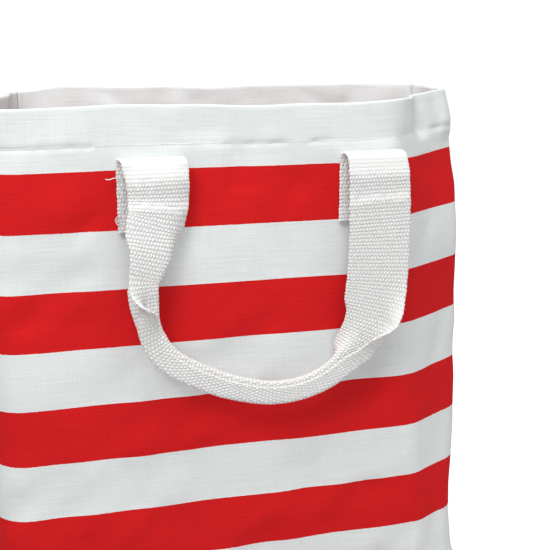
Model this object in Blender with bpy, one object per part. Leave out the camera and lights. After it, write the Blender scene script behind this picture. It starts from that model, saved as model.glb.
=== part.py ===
"""Striped canvas laundry bag with two cotton webbing handles.

The bag stands on z = 0 with its front towards -Y. The walls follow one plan outline that changes with
height: five corners, each rounded, because the soft bag stands a little askew and its front right corner
is drawn in towards the mouth. Each handle is a webbing strap sewn to the outside by its two ends. It folds
over just above them, hangs down outside, and its middle is folded lengthwise as a grip.
"""

import math

import bmesh
import bpy
from mathutils import Vector

MM = 0.001

# Cloth and thread
CLOTH = 1.2 * MM
GAP = 0.4 * MM
THREAD = 0.3 * MM

# Bag
HEIGHT = 352 * MM
HEM_DEPTH = 24 * MM
HEM_STITCH_DROP = 23 * MM
SEAM_WIDTH = 10 * MM
SEAM_THICKNESS = 1.4 * MM
BASE_THICKNESS = 1.5 * MM

# Plan of the bag at the base, at the shoulder and at the rim: x and y of each sharp corner in mm,
# anticlockwise from the front left. The front bend is a soft turn in the front wall, left of the front
# right corner.
LEVELS = (0.0, 0.7, 1.0)
PLAN = {
    "front_left": ((-172, -88), (-176, -88), (-170, -88)),
    "front_bend": ((106, -88), (88, -88), (78, -88)),
    "front_right": ((142, -78), (143, -50), (146, -22)),
    "back_right": ((178, 88), (180, 88), (176, 88)),
    "back_left": ((-152, 88), (-150, 88), (-146, 88)),
}
CORNER_RADIUS = (26 * MM, 34 * MM, 20 * MM, 26 * MM, 24 * MM)
ARC_STEPS = 6
WALL_STEPS = 3
STEPS_PER_CORNER = ARC_STEPS + WALL_STEPS
OUTLINE_STEPS = STEPS_PER_CORNER * len(PLAN)
HEIGHT_STEPS = 9

# Corner seams: where they lie along the outline, in outline steps (the middle of the two back arcs)
BACK_RIGHT_SEAM = 3 * STEPS_PER_CORNER + ARC_STEPS // 2
BACK_LEFT_SEAM = 4 * STEPS_PER_CORNER + ARC_STEPS // 2
SEAM_HALF_GAP = 0.05

# Webbing handles. The stiff webbing folds over in an open loop, and its hinge line is the middle of that
# loop: a fold radius from both the sewn end and the hanging part.
WEB_WIDTH = 40 * MM
WEB_THICKNESS = 2 * MM
GRIP_THICKNESS = 7 * MM
HINGE_DROP = 31 * MM
FOLD_RADIUS = 4 * MM
HINGE_PROUD = FOLD_RADIUS + WEB_THICKNESS / 2 + GAP
STRAP_BACK = WEB_THICKNESS / 2 - FOLD_RADIUS
STRAP_END_X = 68.5 * MM
STRAP_END_HEIGHT = 41 * MM
BOX_STITCH_SIZE = 32 * MM
BOX_STITCH_Y = FOLD_RADIUS - WEB_THICKNESS / 2 - THREAD - THREAD / 2
STITCH_BAR = 0.8 * MM
FRONT_HANDLE_X = -10.5 * MM
BACK_HANDLE_X = 14 * MM

# Route of the hanging strap from its left end to its right end: x, z and width in mm from the hinge line
STRAP_ROUTE = (
    (-68.5, 0.3, 40), (-66, -12, 40), (-62.5, -30, 38), (-63, -50, 32), (-67.5, -72, 20), (-70, -92, 16),
    (-65.5, -110, 17), (-53, -124, 17), (-38, -134, 16), (-19, -142, 14), (2, -147, 13), (24, -148, 13),
    (42, -143.5, 14), (56, -134, 22), (67, -118, 34), (74, -98, 39), (77.5, -72, 40), (78, -48, 40),
    (75.5, -24, 40), (68.5, 0.3, 40),
)
GRIP_FIRST = 4
GRIP_LAST = 12
ROUTE_STEPS = 2

RED = (0.66, 0.018, 0.022, 1.0)
WHITE = (0.84, 0.86, 0.86, 1.0)
WEB_WHITE = (0.87, 0.87, 0.86, 1.0)
THREAD_WHITE = (0.80, 0.80, 0.79, 1.0)


# ---------------------------------------------------------------------------------------------------------
# Scene helpers
# ---------------------------------------------------------------------------------------------------------

def clear_scene():
    for obj in list(bpy.data.objects):
        bpy.data.objects.remove(obj, do_unlink=True)


def cloth_material(name, colour, roughness):
    material = bpy.data.materials.new(name)
    material.use_nodes = True
    shader = material.node_tree.nodes["Principled BSDF"]
    shader.inputs["Base Color"].default_value = colour
    shader.inputs["Roughness"].default_value = roughness
    shader.inputs["Metallic"].default_value = 0.0
    return material


def add_empty(name, location, parent=None, turn=0.0):
    empty = bpy.data.objects.new(name, None)
    empty.location = location
    empty.rotation_euler = (0, 0, turn)
    empty.parent = parent
    bpy.context.collection.objects.link(empty)
    return empty


def add_object(name, mesh, parent, colour, roughness=0.9, location=(0, 0, 0)):
    obj = bpy.data.objects.new(name, mesh)
    obj.location = location
    obj.parent = parent
    bpy.context.collection.objects.link(obj)
    mesh.materials.clear()
    mesh.materials.append(cloth_material(name, colour, roughness))
    return obj


def finish_mesh(name, bm, smooth_angle=30):
    bmesh.ops.recalc_face_normals(bm, faces=bm.faces)
    mesh = bpy.data.meshes.new(name)
    bm.to_mesh(mesh)
    bm.free()
    mesh.shade_smooth()
    mesh.set_sharp_from_angle(angle=math.radians(smooth_angle))
    return mesh


# ---------------------------------------------------------------------------------------------------------
# Plan outline
# ---------------------------------------------------------------------------------------------------------

def plan_corners(z):
    """The five sharp corners at height z, blended smoothly between the levels of the plan."""
    share = min(max(z / HEIGHT, 0.0), 1.0)
    lower = 0 if share < LEVELS[1] else 1
    t = (share - LEVELS[lower]) / (LEVELS[lower + 1] - LEVELS[lower])
    t = t * t * (3 - 2 * t)
    corners = []
    for positions in PLAN.values():
        low = Vector(positions[lower]) * MM
        high = Vector(positions[lower + 1]) * MM
        corners.append(low.lerp(high, t))
    return corners


def inset_corner(before, corner, after, inset):
    """A corner of an anticlockwise polygon after both its edges move inwards."""
    edge_in = (corner - before).normalized()
    edge_out = (after - corner).normalized()
    normal_in = Vector((-edge_in.y, edge_in.x))
    normal_out = Vector((-edge_out.y, edge_out.x))
    return corner + (normal_in + normal_out) * inset / (1 + normal_in.dot(normal_out))


def outline(z, inset=0.0):
    """Points of the rounded plan outline at height z, moved inwards by inset."""
    sharp = plan_corners(z)
    count = len(sharp)
    corners = [inset_corner(sharp[i - 1], sharp[i], sharp[(i + 1) % count], inset) for i in range(count)]
    arcs = []
    for i, corner in enumerate(corners):
        to_before = (corners[i - 1] - corner).normalized()
        to_after = (corners[(i + 1) % count] - corner).normalized()
        half_angle = to_before.angle(to_after) / 2
        radius = CORNER_RADIUS[i] - inset
        centre = corner + (to_before + to_after).normalized() * radius / math.sin(half_angle)
        turn = math.pi - 2 * half_angle
        start = corner + to_before * radius / math.tan(half_angle) - centre
        arc = []
        for k in range(ARC_STEPS + 1):
            angle = turn * k / ARC_STEPS
            arc.append(centre + Vector((start.x * math.cos(angle) - start.y * math.sin(angle),
                                        start.x * math.sin(angle) + start.y * math.cos(angle))))
        arcs.append(arc)
    points = []
    for i, arc in enumerate(arcs):
        points.extend(arc)
        wall_end = arcs[(i + 1) % count][0]
        points.extend(arc[-1].lerp(wall_end, k / WALL_STEPS) for k in range(1, WALL_STEPS))
    return points


def faceted_outline(z, inset=0.0):
    """The outline of the walls as built: straight between the heights where they have points."""
    step = HEIGHT / HEIGHT_STEPS
    lower = min(int(z / step), HEIGHT_STEPS - 1)
    below = outline(lower * step, inset)
    above = outline((lower + 1) * step, inset)
    return [a.lerp(b, z / step - lower) for a, b in zip(below, above)]


def point_on_outline(points, position):
    whole = math.floor(position)
    here = points[whole % OUTLINE_STEPS]
    following = points[(whole + 1) % OUTLINE_STEPS]
    return here.lerp(following, position - whole)


def plan_shift():
    """Moves the plan sideways so that its box is centred on x = 0."""
    widths = [p.x for share in LEVELS for p in outline(share * HEIGHT)]
    return -(min(widths) + max(widths)) / 2


# ---------------------------------------------------------------------------------------------------------
# Closed bodies
# ---------------------------------------------------------------------------------------------------------

def grid_faces(bm, rows, columns, closed):
    """Closed skin over rows x columns x (outer, inner) vertices. A closed one goes all the way round."""
    spans = columns if closed else columns - 1
    for r in range(len(rows) - 1):
        for c in range(spans):
            d = (c + 1) % columns
            bm.faces.new((rows[r][c][0], rows[r][d][0], rows[r + 1][d][0], rows[r + 1][c][0]))
            bm.faces.new((rows[r][c][1], rows[r + 1][c][1], rows[r + 1][d][1], rows[r][d][1]))
    for row in (rows[0], rows[-1]):
        for c in range(spans):
            d = (c + 1) % columns
            bm.faces.new((row[c][0], row[c][1], row[d][1], row[d][0]))
    if not closed:
        for c in (0, columns - 1):
            for r in range(len(rows) - 1):
                bm.faces.new((rows[r][c][0], rows[r + 1][c][0], rows[r + 1][c][1], rows[r][c][1]))


def wall(name, positions, heights, outer_inset, inner_inset, closed=False):
    """A thin wall that follows the outline at the given positions and heights."""
    bm = bmesh.new()
    rows = []
    for z in heights:
        outer = faceted_outline(z, outer_inset)
        inner = faceted_outline(z, inner_inset)
        row = []
        for position in positions:
            pair = (point_on_outline(outer, position), point_on_outline(inner, position))
            row.append(tuple(bm.verts.new((p.x, p.y, z)) for p in pair))
        rows.append(row)
    grid_faces(bm, rows, len(positions), closed)
    return finish_mesh(name, bm)


def seam_positions(first, last):
    """The outline steps between two seams, with a small gap left at each seam."""
    inside = range(first + 1, last)
    return [first + SEAM_HALF_GAP, *inside, last - SEAM_HALF_GAP]


def wall_heights(bottom, top):
    """The two ends and every height between them where the walls have points."""
    shared = (HEIGHT * k / HEIGHT_STEPS for k in range(HEIGHT_STEPS + 1))
    return [bottom, *(z for z in shared if bottom < z < top), top]


def base_plate(name, inset):
    bm = bmesh.new()
    ring = outline(0.0, inset)
    low = [bm.verts.new((p.x, p.y, 0.0)) for p in ring]
    face = bm.faces.new(low)
    raised = bmesh.ops.extrude_face_region(bm, geom=[face])
    top = [item for item in raised["geom"] if isinstance(item, bmesh.types.BMVert)]
    bmesh.ops.translate(bm, verts=top, vec=(0, 0, BASE_THICKNESS))
    return finish_mesh(name, bm)


def block(name, size, centre):
    bm = bmesh.new()
    bmesh.ops.create_cube(bm, size=1.0)
    bmesh.ops.scale(bm, vec=size, verts=bm.verts)
    bmesh.ops.translate(bm, vec=centre, verts=bm.verts)
    return finish_mesh(name, bm)


def box_stitch(name, centre):
    """A flat square of thread with a cross in it, as one body: a plate with four triangular holes."""
    half = BOX_STITCH_SIZE / 2
    inner = half - STITCH_BAR
    slack = STITCH_BAR * 0.75
    mesh = block(name, (BOX_STITCH_SIZE, THREAD, BOX_STITCH_SIZE), centre)
    bm = bmesh.new()
    for quarter in range(4):
        turn = math.radians(90 * quarter)
        triangle = []
        for x, z in ((-inner + slack, -inner), (inner - slack, -inner), (0, -slack)):
            turned_x = x * math.cos(turn) - z * math.sin(turn)
            turned_z = x * math.sin(turn) + z * math.cos(turn)
            triangle.append((turned_x, turned_z))
        back = [bm.verts.new((centre[0] + x, centre[1] - THREAD, centre[2] + z)) for x, z in triangle]
        front = [bm.verts.new((centre[0] + x, centre[1] + THREAD, centre[2] + z)) for x, z in triangle]
        bm.faces.new(back)
        bm.faces.new(front)
        for k in range(3):
            bm.faces.new((back[k], back[(k + 1) % 3], front[(k + 1) % 3], front[k]))
    return mesh, finish_mesh(name + "_holes", bm)


def smooth_route(controls, steps):
    """Catmull-Rom curve through the control points, each a tuple of numbers of any length."""
    route = []
    for i in range(len(controls) - 1):
        p0 = controls[max(i - 1, 0)]
        p1 = controls[i]
        p2 = controls[i + 1]
        p3 = controls[min(i + 2, len(controls) - 1)]
        for k in range(steps):
            t = k / steps
            route.append(tuple(
                0.5 * (2 * b + (c - a) * t + (2 * a - 5 * b + 4 * c - d) * t ** 2
                       + (3 * b - a - 3 * c + d) * t ** 3)
                for a, b, c, d in zip(p0, p1, p2, p3)))
    route.append(controls[-1])
    return route


def strap_controls():
    """The strap's route with its thickness: flat webbing at both ends, folded lengthwise at the grip."""
    controls = []
    for i, (x, z, width) in enumerate(STRAP_ROUTE):
        folded = GRIP_FIRST <= i <= GRIP_LAST
        thickness = GRIP_THICKNESS if folded else WEB_THICKNESS
        controls.append((x * MM, z * MM, width * MM, thickness))
    return controls


def across(route, i):
    """Unit vector across the strap, in its own plane, on the loop's inner side."""
    ahead = route[min(i + 1, len(route) - 1)]
    behind = route[max(i - 1, 0)]
    along = Vector((ahead[0] - behind[0], 0, ahead[1] - behind[1])).normalized()
    if i in (0, len(route) - 1):
        along = Vector((0, 0, -1 if i == 0 else 1))
    return Vector((-along.z, 0, along.x))


def loft(name, sections):
    """Closed tube through sections that have the same number of points, capped at both ends."""
    bm = bmesh.new()
    rings = [[bm.verts.new(p) for p in section] for section in sections]
    count = len(rings[0])
    for r in range(len(rings) - 1):
        for c in range(count):
            d = (c + 1) % count
            bm.faces.new((rings[r][c], rings[r][d], rings[r + 1][d], rings[r + 1][c]))
    bm.faces.new(rings[0])
    bm.faces.new(rings[-1])
    return finish_mesh(name, bm, smooth_angle=50)


def strap(name):
    route = smooth_route(strap_controls(), ROUTE_STEPS)
    sections = []
    for i, (x, z, width, thickness) in enumerate(route):
        side = across(route, i)
        centre = Vector((x, STRAP_BACK - thickness / 2, z))
        half_width = width / 2
        half_depth = thickness / 2
        chamfer = 0.45 * thickness
        profile = ((half_width, half_depth - chamfer), (half_width - chamfer, half_depth),
                   (chamfer - half_width, half_depth), (-half_width, half_depth - chamfer),
                   (-half_width, chamfer - half_depth), (chamfer - half_width, -half_depth),
                   (half_width - chamfer, -half_depth), (half_width, chamfer - half_depth))
        sections.append([centre + side * u + Vector((0, v, 0)) for u, v in profile])
    return loft(name, sections)


def grip_stitching(name):
    """Thread along the front of the folded grip, near the loop's inner edge."""
    route = smooth_route(strap_controls(), ROUTE_STEPS)
    first = GRIP_FIRST * ROUTE_STEPS + 3 * ROUTE_STEPS
    last = GRIP_LAST * ROUTE_STEPS
    sections = []
    for i in range(first, last + 1):
        x, z, width, thickness = route[i]
        side = across(route, i)
        front = STRAP_BACK - thickness - GAP
        centre = Vector((x, front - THREAD / 2, z)) + side * width * 0.22
        half = THREAD / 2
        sections.append([centre + side * u + Vector((0, v, 0))
                         for u, v in ((half, half), (-half, half), (-half, -half), (half, -half))])
    return loft(name, sections)


# ---------------------------------------------------------------------------------------------------------
# The bag
# ---------------------------------------------------------------------------------------------------------

def build_bag(bag):
    full = wall_heights(0.0, HEIGHT)
    front_run = seam_positions(BACK_LEFT_SEAM - OUTLINE_STEPS, BACK_RIGHT_SEAM)
    back_run = seam_positions(BACK_RIGHT_SEAM, BACK_LEFT_SEAM)
    ring = list(range(OUTLINE_STEPS))
    lining = CLOTH + GAP

    add_object("front_and_sides_panel", wall("front_and_sides_panel", front_run, full, 0.0, CLOTH), bag, RED)
    add_object("back_panel", wall("back_panel", back_run, full, 0.0, CLOTH), bag, RED)

    hem = wall("mouth_hem", ring, [HEIGHT - HEM_DEPTH, HEIGHT], lining, lining + CLOTH, closed=True)
    add_object("mouth_hem", hem, bag, WHITE)
    stitch_z = HEIGHT - HEM_STITCH_DROP
    thread = wall("hem_stitching", ring, [stitch_z - THREAD, stitch_z + THREAD], -GAP - THREAD, -GAP,
                  closed=True)
    add_object("hem_stitching", thread, bag, THREAD_WHITE)

    # The base's seam allowance stands around the base panel, clear of its upper face
    base_seam = wall("base_seam", ring, [GAP, GAP + SEAM_WIDTH], lining, lining + SEAM_THICKNESS, closed=True)
    add_object("base_seam", base_seam, bag, WHITE)
    base_inset = lining + SEAM_THICKNESS + 2 * GAP
    add_object("base_panel", base_plate("base_panel", base_inset), bag, WHITE)

    seam_low = GAP + SEAM_WIDTH + GAP
    seam_high = HEIGHT - HEM_DEPTH - GAP
    heights = wall_heights(seam_low, seam_high)
    arc_half = ARC_STEPS // 2
    seams = (("back_right_seam", BACK_RIGHT_SEAM, 1), ("back_left_seam", BACK_LEFT_SEAM, -1))
    for name, seam, direction in seams:
        run = sorted(seam + direction * k for k in range(arc_half))
        add_object(name, wall(name, run, heights, lining, lining + SEAM_THICKNESS), bag, WHITE)


def build_handle(which, bag, x, y, turn):
    """One handle on its hinge line, with its sewn ends. Local -Y points away from the bag."""
    hinge = add_empty(which + "_handle_hinge", (x, y, HEIGHT - HINGE_DROP), bag, turn)
    add_object(which + "_strap", strap(which + "_strap"), hinge, WEB_WHITE)
    add_object(which + "_grip_stitching", grip_stitching(which + "_grip_stitching"), hinge, THREAD_WHITE)

    end_centre_z = -1 * MM - STRAP_END_HEIGHT / 2
    outward_turn = math.cos(turn)
    for side, sign in (("left", -1), ("right", 1)):
        local_x = sign * outward_turn * STRAP_END_X
        end_name = which + "_" + side + "_strap_end"
        centre = (local_x, FOLD_RADIUS, end_centre_z)
        sewn_end = block(end_name, (WEB_WIDTH, WEB_THICKNESS, STRAP_END_HEIGHT), centre)
        add_object(end_name, sewn_end, hinge, WEB_WHITE)
        stitch_name = which + "_" + side + "_box_stitch"
        plate, holes = box_stitch(stitch_name, (local_x, BOX_STITCH_Y, end_centre_z))
        stitch = add_object(stitch_name, plate, hinge, THREAD_WHITE)
        cutter = add_object(stitch_name + "_holes", holes, hinge, THREAD_WHITE)
        cutter.hide_render = True
        cutter.display_type = "WIRE"
        cut = stitch.modifiers.new("holes", "BOOLEAN")
        cut.operation = "DIFFERENCE"
        cut.solver = "EXACT"
        cut.object = cutter


clear_scene()
bag_origin = add_empty("bag_origin", (plan_shift(), 0, 0))
build_bag(bag_origin)
hinge_y = 88 * MM + HINGE_PROUD
build_handle("front", bag_origin, FRONT_HANDLE_X, -hinge_y, 0.0)
build_handle("back", bag_origin, BACK_HANDLE_X, hinge_y, math.pi)
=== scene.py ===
"""Looks of the striped canvas laundry bag: sewn cloth, webbing handles, stitches, studio and camera."""
import math

import bpy
import numpy as np
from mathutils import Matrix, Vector


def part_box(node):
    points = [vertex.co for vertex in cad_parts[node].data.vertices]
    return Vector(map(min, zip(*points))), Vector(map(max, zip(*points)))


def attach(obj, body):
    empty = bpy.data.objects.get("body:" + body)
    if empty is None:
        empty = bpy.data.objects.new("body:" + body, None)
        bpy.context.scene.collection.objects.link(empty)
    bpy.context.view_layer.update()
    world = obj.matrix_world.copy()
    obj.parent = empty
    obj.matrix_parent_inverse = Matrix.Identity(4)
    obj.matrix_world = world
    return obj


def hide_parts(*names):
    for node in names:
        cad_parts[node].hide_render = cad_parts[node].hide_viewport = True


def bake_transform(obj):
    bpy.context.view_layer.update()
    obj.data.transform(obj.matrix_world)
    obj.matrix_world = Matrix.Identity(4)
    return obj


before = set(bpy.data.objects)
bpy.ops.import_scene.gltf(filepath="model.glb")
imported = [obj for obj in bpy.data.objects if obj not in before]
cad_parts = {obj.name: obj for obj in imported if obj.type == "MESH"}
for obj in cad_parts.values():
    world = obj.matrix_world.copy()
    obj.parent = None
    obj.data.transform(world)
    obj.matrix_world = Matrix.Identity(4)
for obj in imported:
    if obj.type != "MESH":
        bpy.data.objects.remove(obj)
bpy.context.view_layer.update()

MM = 0.001
TAU = 2 * math.pi

# ---- Dimensions in mm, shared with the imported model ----
HEIGHT = 352.0
HEM_DEPTH = 24.0
STITCH_Z = 329.0
# Corners of the plan before they are rounded, anticlockwise from the front left, at three shares of the
# height; the front right corner is two bends
LEVELS = (0.0, 0.7, 1.0)
PLAN = (
    ((-172, -88), (-176, -88), (-170, -88)),
    ((106, -88), (88, -88), (78, -88)),
    ((142, -78), (143, -50), (146, -22)),
    ((178, 88), (180, 88), (176, 88)),
    ((-152, 88), (-150, 88), (-146, 88)),
)
CORNER_RADIUS = (20, 34, 20, 26, 24)
# Columns of the wall grid in each rounded corner, and in the straight wall after it
ARC_STEPS = 12
WALL_STEPS = (88, 26, 58, 108, 60)
# Depth of the first white band below the rim, and of each band after it
FIRST_WHITE = 37.0
BAND = 35.0

# Half the thickness of the cloth, and the radii of its turn over the rim and under the base
CLOTH_HALF = 0.5
RIM_RADIUS = 0.95
BOTTOM_RADIUS = 3.5

HINGE = {"front": (-10.731, -93.4, 321.0), "back": (13.769, 93.4, 321.0)}
# The handle's fold and its sewn ends, from the hinge
LOOP_RADIUS = 4.0
LOOP_Z = -3.4
LEFT_END_X = -64.8
RIGHT_END_X = 70.8
SEWN_LOW = -42.0
WEB_HALF_WIDTH = 20.0
WEB_HALF = 0.82
RIB_PITCH = 2.3
RIB_HEIGHT = 0.045
# How the webbing is folded lengthwise: the turned edges start bending this far from its middle line and
# bend over this width, first when they are nearly flat and then when they are folded right over
SOFT_FOLD = 12.0
SOFT_BEND = 14.0
OUTER_FOLD = 7.7
INNER_FOLD = 7.8
TIGHT_BEND = 4.3
TIGHT_TURN = 150.0
# Length of the webbing from each cut end that is a separate piece baked in place, and up to the sewn grip
END_LENGTH = 65.0
GRIP_START = 160.0

RED = (0.67, 0.0125, 0.0145, 1.0)
WHITE = (0.79, 0.825, 0.82, 1.0)
WEB_WHITE = (0.90, 0.90, 0.89, 1.0)
# Painted shade: this darker grey is put in the gaps between the webbing's knuckles, where shade falls
WEB_PAINTED_SHADE = (0.56, 0.56, 0.55, 1.0)
THREAD_WHITE = (0.88, 0.88, 0.87, 1)
THREAD_SHADE = (0.70, 0.71, 0.70, 1)

# Textile sizes in metres: the pitch of the canvas threads, the pitch of the webbing's knuckles, and where
# from its cut ends the webbing is pressed smooth over the fold and painted lighter there as a highlight, and
# where a lighter, flatter line crosses it (rise from, rise to, fall from, fall to)
CANVAS_PITCH = 0.0011
KNUCKLE_PITCH = 0.0021
PRESSED_FOLD_HIGHLIGHT = (0.040, 0.046, 0.055, 0.064)
LIGHTER_LINE = (0.0725, 0.0745, 0.0765, 0.0785)


def smooth(t):
    """A smooth step from 0 to 1 as t goes from 0 to 1."""
    t = np.clip(t, 0.0, 1.0)
    return t * t * (3 - 2 * t)


def plateau(value, low, rise, high, fall):
    """1 between low and high, with smooth shoulders of the given widths inside that range."""
    return smooth((value - low) / rise) * smooth((high - value) / fall)


def drift(u, z, seed, wavelength, count=16):
    """Smooth seeded waviness in two directions, about 1 in size, with waves near the given length in mm."""
    rng = np.random.default_rng(seed)
    total = 0.0
    for angle, stretch, phase in zip(rng.uniform(0, TAU, count), rng.uniform(0.7, 1.6, count),
                                     rng.uniform(0, TAU, count)):
        size = wavelength * stretch
        total = total + np.cos(TAU * (u * math.cos(angle) + z * math.sin(angle)) / size + phase)
    return total * math.sqrt(2.0 / count)


# ---- Mesh helpers ----

def new_piece(name, vertices, faces, uv=None, material=None):
    """A smooth-shaded mesh object from vertices in metres, with one UV pair for each vertex."""
    mesh = bpy.data.meshes.new(name)
    mesh.from_pydata(vertices.tolist(), [], faces.tolist() if hasattr(faces, "tolist") else faces)
    if uv is not None:
        layer = mesh.uv_layers.new(name="cloth")
        corner = np.empty(len(mesh.loops), dtype=np.int64)
        mesh.loops.foreach_get("vertex_index", corner)
        layer.data.foreach_set("uv", uv[corner].astype(np.float32).ravel())
    mesh.shade_smooth()
    if material is not None:
        mesh.materials.append(material)
    mesh.update()
    piece = bpy.data.objects.new(name, mesh)
    bpy.context.collection.objects.link(piece)
    return piece


def grid_quads(rows, columns, ring=False):
    """Four vertex numbers for each cell of a grid, with the last column joined to the first in a ring."""
    r = np.arange(rows - 1)[:, None]
    c = np.arange(columns if ring else columns - 1)[None, :]
    d = (c + 1) % columns
    quads = np.stack(np.broadcast_arrays(r * columns + c, r * columns + d, (r + 1) * columns + d,
                                         (r + 1) * columns + c), axis=-1)
    return quads.reshape(-1, 4)


def grid_normals(points, ring=False):
    """Unit normals of a grid of points, rows x columns x 3."""
    down = np.gradient(points, axis=0)
    if ring:
        along = (np.roll(points, -1, axis=1) - np.roll(points, 1, axis=1)) / 2
    else:
        along = np.gradient(points, axis=1)
    normal = np.cross(along, down)
    return normal / np.maximum(np.linalg.norm(normal, axis=2, keepdims=True), 1e-9)


def sheet_shell(name, front, back, uv, material, ring=False):
    """Closed sheet between two grids of points in mm: front skin, back skin and the edges between them."""
    rows, columns = front.shape[:2]
    count = rows * columns
    quads = grid_quads(rows, columns, ring)
    faces = [quads, quads[:, ::-1] + count]
    index = np.arange(count).reshape(rows, columns)
    borders = [index[0], index[-1][::-1]]
    if not ring:
        borders += [index[:, -1], index[:, 0][::-1]]
    for border in borders:
        line = np.append(border, border[0]) if ring else border
        a, b = line[:-1], line[1:]
        faces.append(np.stack([b, a, a + count, b + count], axis=1))
    vertices = np.concatenate([front.reshape(-1, 3), back.reshape(-1, 3)]) * MM
    both = np.concatenate([uv.reshape(-1, 2)] * 2) * MM
    return new_piece(name, vertices, np.concatenate(faces), both, material)


def capsules(name, centres, directions, normals, length, radius, material, droop=0.0):
    """Short thread stitches: ellipsoids that lie along the given directions."""
    sides, rings = 6, 6
    around = np.arange(sides) * TAU / sides
    vertices, faces, offset = [], [], 0
    for centre, direction, normal in zip(centres, directions, normals):
        direction = direction / np.linalg.norm(direction)
        side = np.cross(normal, direction)
        side = side / np.linalg.norm(side)
        up = np.cross(direction, side)
        points = []
        for k in range(rings + 1):
            share = k / rings * 2 - 1
            swell = math.sqrt(max(1 - abs(share) ** 3, 0.02))
            spine = centre + direction * share * length / 2 - up * droop * share * share
            for angle in around:
                points.append(spine + (side * math.cos(angle) + up * math.sin(angle)) * radius * swell)
        vertices.extend(points)
        for k in range(rings):
            for s in range(sides):
                t = (s + 1) % sides
                faces.append((offset + k * sides + s, offset + k * sides + t,
                              offset + (k + 1) * sides + t, offset + (k + 1) * sides + s))
        faces.append(tuple(offset + s for s in range(sides))[::-1])
        faces.append(tuple(offset + rings * sides + s for s in range(sides)))
        offset += (rings + 1) * sides
    return new_piece(name, np.array(vertices) * MM, faces, None, material)


def thread_tube(path, radius, sides=6):
    """Vertices and faces of a thin closed thread along a path in mm."""
    path = np.array(path, float)
    tangent = np.gradient(path, axis=0)
    vertices, faces = [], []
    for point, along in zip(path, tangent):
        along = along / np.linalg.norm(along)
        side = np.cross(along, (0.31, 0.2, 0.93))
        side = side / np.linalg.norm(side)
        up = np.cross(along, side)
        for s in range(sides):
            angle = TAU * s / sides
            vertices.append(point + (side * math.cos(angle) + up * math.sin(angle)) * radius)
    for k in range(len(path) - 1):
        for s in range(sides):
            t = (s + 1) % sides
            faces.append((k * sides + s, k * sides + t, (k + 1) * sides + t, (k + 1) * sides + s))
    faces.append(tuple(range(sides))[::-1])
    faces.append(tuple((len(path) - 1) * sides + s for s in range(sides)))
    return vertices, faces


# ---- Materials ----

class Nodes:
    """Short helpers for one material's node tree."""

    def __init__(self, name):
        self.material = bpy.data.materials.new(name)
        self.material.use_nodes = True
        self.tree = self.material.node_tree
        self.shader = self.tree.nodes["Principled BSDF"]

    def put(self, kind, **values):
        node = self.tree.nodes.new(kind)
        for key, value in values.items():
            setattr(node, key, value)
        return node

    def link(self, source, target):
        if hasattr(source, "is_output"):
            self.tree.links.new(source, target)
        else:
            target.default_value = source

    def maths(self, operation, a, b=0.0, c=0.0, clamp=False):
        node = self.put("ShaderNodeMath", operation=operation, use_clamp=clamp)
        for slot, value in zip(node.inputs, (a, b, c)):
            self.link(value, slot)
        return node.outputs[0]

    def mix(self, share, first, second):
        node = self.put("ShaderNodeMix", data_type="RGBA")
        self.link(share, node.inputs["Factor"])
        self.link(first, node.inputs["A"])
        self.link(second, node.inputs["B"])
        return node.outputs["Result"]

    def map_range(self, value, low, high, to_low=0.0, to_high=1.0, smooth_step=False):
        node = self.put("ShaderNodeMapRange")
        if smooth_step:
            node.interpolation_type = "SMOOTHSTEP"
        for key, item in (("Value", value), ("From Min", low), ("From Max", high), ("To Min", to_low),
                          ("To Max", to_high)):
            self.link(item, node.inputs[key])
        return node.outputs["Result"]

    def uv(self):
        node = self.put("ShaderNodeUVMap", uv_map="cloth")
        split = self.put("ShaderNodeSeparateXYZ")
        self.link(node.outputs["UV"], split.inputs[0])
        return split.outputs["X"], split.outputs["Y"]

    def noise(self, x, y, scale_x, scale_y, detail=2.0, rough=0.5, seed=0.0):
        """Noise over the cloth, with its scale in features for each metre along x and y."""
        join = self.put("ShaderNodeCombineXYZ")
        self.link(self.maths("MULTIPLY", x, scale_x), join.inputs["X"])
        self.link(self.maths("MULTIPLY", y, scale_y), join.inputs["Y"])
        join.inputs["Z"].default_value = seed
        node = self.put("ShaderNodeTexNoise")
        node.inputs["Scale"].default_value = 1.0
        node.inputs["Detail"].default_value = detail
        node.inputs["Roughness"].default_value = rough
        self.link(join.outputs[0], node.inputs["Vector"])
        return node.outputs["Fac"]

    def wave(self, x, pitch, phase=0.0):
        """A cosine from 0 to 1 along x, one wave for each pitch in metres."""
        turned = self.maths("MULTIPLY_ADD", x, TAU / pitch, phase)
        return self.maths("MULTIPLY_ADD", self.maths("COSINE", turned), 0.5, 0.5)

    def bump(self, height, distance, strength=1.0):
        node = self.put("ShaderNodeBump")
        node.inputs["Distance"].default_value = distance
        node.inputs["Strength"].default_value = strength
        self.link(height, node.inputs["Height"])
        self.link(node.outputs["Normal"], self.shader.inputs["Normal"])

    def band(self, value, edges, level=1.0):
        """The level where the value is inside the band, 0 outside it, with soft edges."""
        rise_from, rise_to, fall_from, fall_to = edges
        return self.maths("MULTIPLY", self.map_range(value, rise_from, rise_to, 0.0, level, smooth_step=True),
                          self.map_range(value, fall_from, fall_to, 1.0, 0.0, smooth_step=True))

    def set(self, **values):
        """Plain values for the shader's inputs, with underscores for the spaces in their names."""
        for key, value in values.items():
            self.shader.inputs[key.replace("_", " ")].default_value = value


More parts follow.
